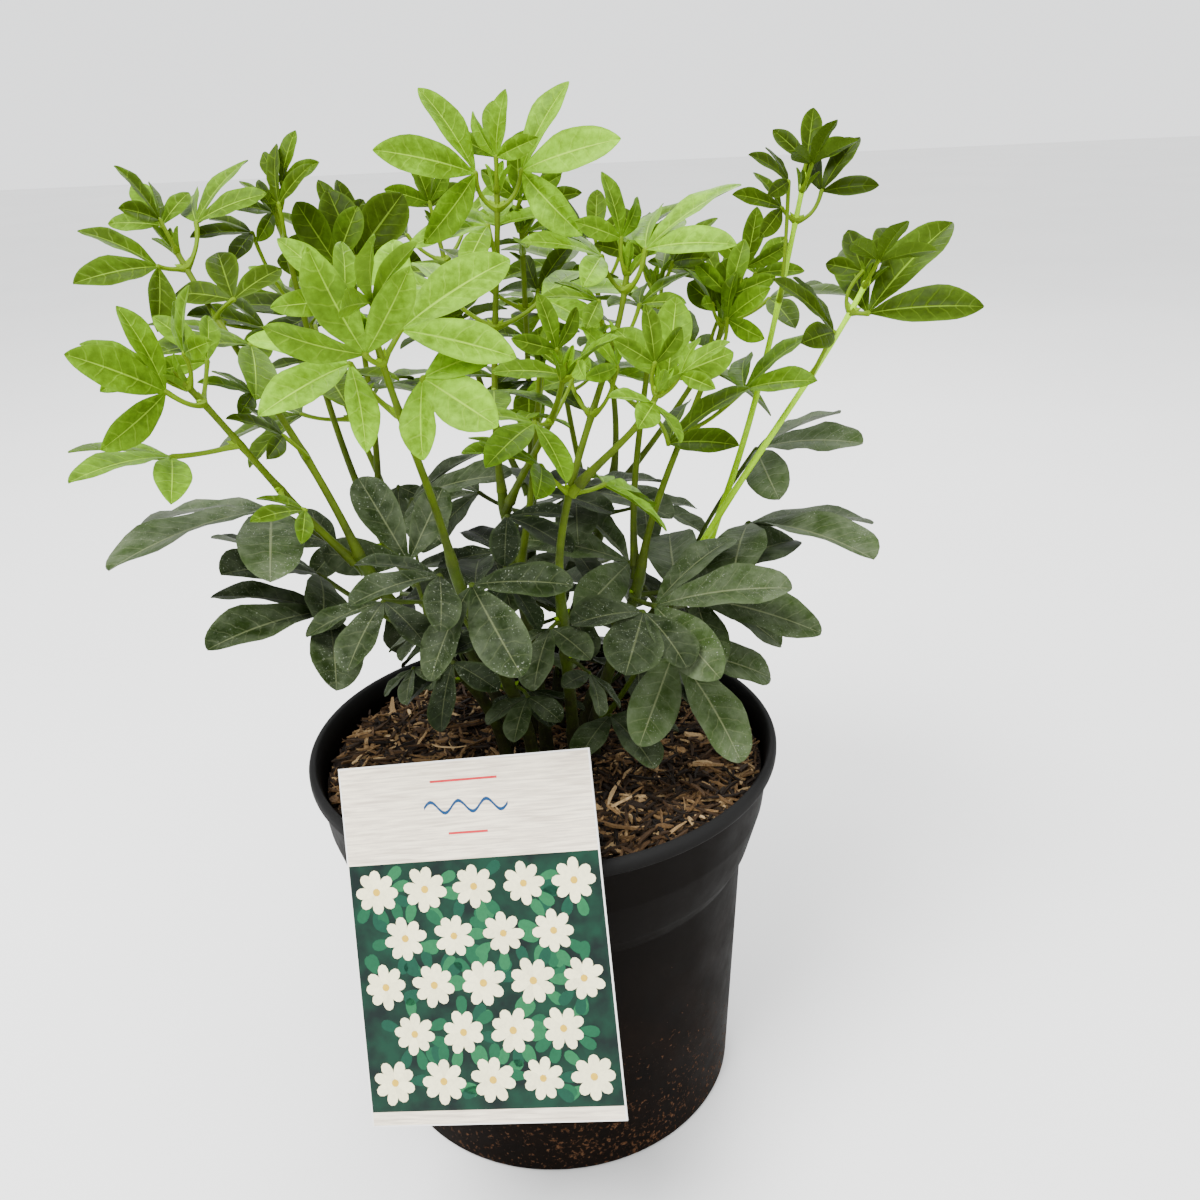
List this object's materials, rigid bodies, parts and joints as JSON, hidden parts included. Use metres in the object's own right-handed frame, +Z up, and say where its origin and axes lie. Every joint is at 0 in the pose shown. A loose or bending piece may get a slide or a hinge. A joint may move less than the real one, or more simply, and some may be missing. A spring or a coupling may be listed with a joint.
{
  "type": "potted mexican orange",
  "caption": "Young mexican orange shrub with leaves in threes on old branches and light new shoots, standing in a black nursery pot of bark-covered soil with a picture label over its rim.",
  "frame": {"origin": "middle of the pot's flat base, on the surface that it stands on", "axes": "+Z up, -Y towards the side where the label hangs"},
  "size_m": [0.3115, 0.3096, 0.4088],
  "materials": {
    "pot_plastic": "black moulded plastic, slightly dusty",
    "bark_mulch": "rough shredded bark over dark soil",
    "old_leaf": "dark leathery leaves, satin, with specks of dust",
    "new_leaf": "fresh light green leaves, satin",
    "label_card": "thin printed plastic card"
  },
  "bodies": {
    "root": {"branch_back": "old_leaf", "branch_back_left": "old_leaf", "branch_back_middle": "old_leaf", "branch_back_right": "old_leaf", "branch_front_left": "old_leaf", "branch_front_right": "old_leaf", "branch_left": "old_leaf", "branch_middle": "old_leaf", "branch_right": "old_leaf", "label": "label_card", "pot": "pot_plastic", "shoot_back": "new_leaf", "shoot_back_high": "new_leaf", "shoot_back_left": "new_leaf", "shoot_back_middle": "new_leaf", "shoot_back_right": "new_leaf", "shoot_centre": "new_leaf", "shoot_centre_left": "new_leaf", "shoot_far_left": "new_leaf", "shoot_far_right": "new_leaf", "shoot_front": "new_leaf", "shoot_left_front": "new_leaf", "shoot_left_middle": "new_leaf", "shoot_left_top": "new_leaf", "shoot_middle_right": "new_leaf", "shoot_right": "new_leaf", "shoot_right_back": "new_leaf", "shoot_tall": "new_leaf", "shoot_tall_side": "new_leaf", "shoot_top": "new_leaf", "shoot_top_back": "new_leaf", "soil": "bark_mulch"}
  },
  "joints": []
}
